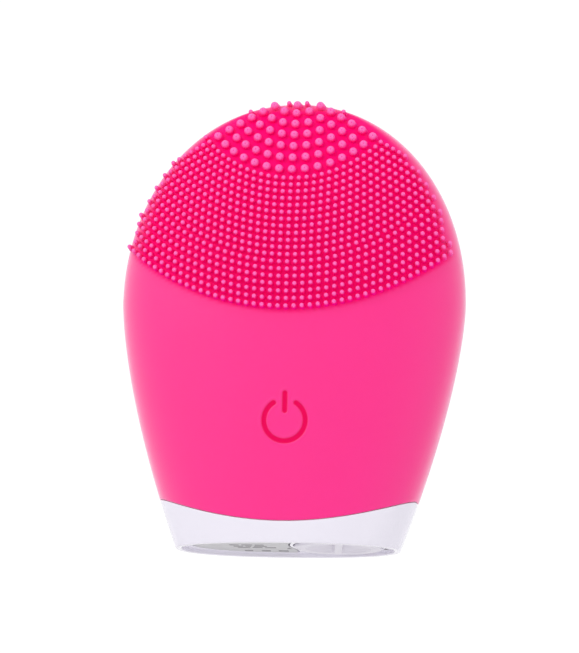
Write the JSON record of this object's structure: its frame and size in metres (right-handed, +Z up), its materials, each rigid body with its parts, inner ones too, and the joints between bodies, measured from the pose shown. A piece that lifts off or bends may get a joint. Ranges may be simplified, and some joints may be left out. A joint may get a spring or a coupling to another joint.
{
  "type": "facial cleansing brush",
  "caption": "Egg-shaped silicone facial cleansing brush with two bristle fields, a press button, a white base with a twist-off battery cap, and a vibrating motor inside.",
  "frame": {"origin": "middle of the base's rim, which is the plane the brush stands on", "axes": "+Z up from the base to the crest, bristles and button face -Y, +X to the right of a person who looks at the front"},
  "size_m": [0.0666, 0.03, 0.0894],
  "materials": {
    "silicone_pink": "matte moulded silicone",
    "bristle_pink": "matte moulded silicone bristles",
    "gloss_white": "glossy white ABS",
    "label_grey": "satin printed film, left blank",
    "inner_plastic": "off-white moulded ABS",
    "seal_rubber": "black nitrile rubber",
    "steel": "bright zinc-plated steel",
    "nickel": "nickel-plated spring strip",
    "circuit_board": "green solder mask over glass epoxy",
    "dark_plastic": "black moulded plastic",
    "cell_jacket": "printed steel can",
    "wire_red": "red PVC insulation",
    "wire_black": "black PVC insulation"
  },
  "bodies": {
    "housing": {"silicone_sleeve": "silicone_pink", "fine_bristle_field": "bristle_pink", "coarse_bristle_field": "bristle_pink", "front_inner_shell": "inner_plastic", "rear_inner_shell": "inner_plastic", "shell_gasket": "seal_rubber", "base_cap": "gloss_white", "base_label": "label_grey", "battery_tube": "inner_plastic", "battery_cell": "cell_jacket", "positive_contact": "nickel", "side_contact_strip": "nickel", "control_board": "circuit_board", "controller_chip": "dark_plastic", "boost_inductor": "dark_plastic", "filter_capacitor": "steel", "tact_switch_body": "dark_plastic", "motor_can": "steel", "motor_end_bell": "dark_plastic", "motor_damper": "seal_rubber", "motor_cradle": "inner_plastic", "motor_lead_red": "wire_red", "motor_lead_black": "wire_black", "battery_lead_red": "wire_red", "battery_lead_black": "wire_black", "shell_screw_1": "steel", "shell_screw_2": "steel", "shell_screw_3": "steel", "shell_screw_4": "steel", "board_screw_1": "steel", "board_screw_2": "steel", "base_screw_1": "steel", "base_screw_2": "steel"},
    "power_button": {"power_button_pad": "silicone_pink", "button_plunger": "inner_plastic"},
    "switch_actuator": {"tact_switch_actuator": "dark_plastic"},
    "cap_carrier": {"battery_cap_o_ring": "seal_rubber"},
    "battery_cap": {"battery_cap": "gloss_white", "battery_cap_contact": "nickel", "battery_spring": "steel"},
    "rotor": {"motor_shaft": "steel", "eccentric_weight": "nickel"}
  },
  "joints": [
    {"name": "power_button_press", "type": "slide", "parent": "housing", "child": "power_button", "axis": [0, 1, 0], "range_m": [0, 0.0005], "stiffness_N_per_m": 1200, "springref_m": -0.0004},
    {"name": "switch_actuator_press", "type": "slide", "parent": "housing", "child": "switch_actuator", "axis": [0, 1, 0], "range_m": [0, 0.0003]},
    {"name": "battery_cap_lift", "type": "slide", "parent": "housing", "child": "cap_carrier", "axis": [0, 0, -1], "range_m": [0, 0.003]},
    {"name": "battery_cap_turn", "type": "hinge", "parent": "cap_carrier", "child": "battery_cap", "pos_m": [0.0097, 0, 0], "axis": [0, 0, -1], "range_deg": [0, 90]},
    {"name": "motor_shaft_spin", "type": "hinge", "parent": "housing", "child": "rotor", "pos_m": [0, 0, 0.0675], "axis": [1, 0, 0], "continuous": true}
  ],
  "couplings": [
    {"joint": "switch_actuator_press", "follows": "power_button_press", "ratio": 0.6},
    {"joint": "battery_cap_turn", "follows": "battery_cap_lift", "rad_per_m": 523.6}
  ]
}
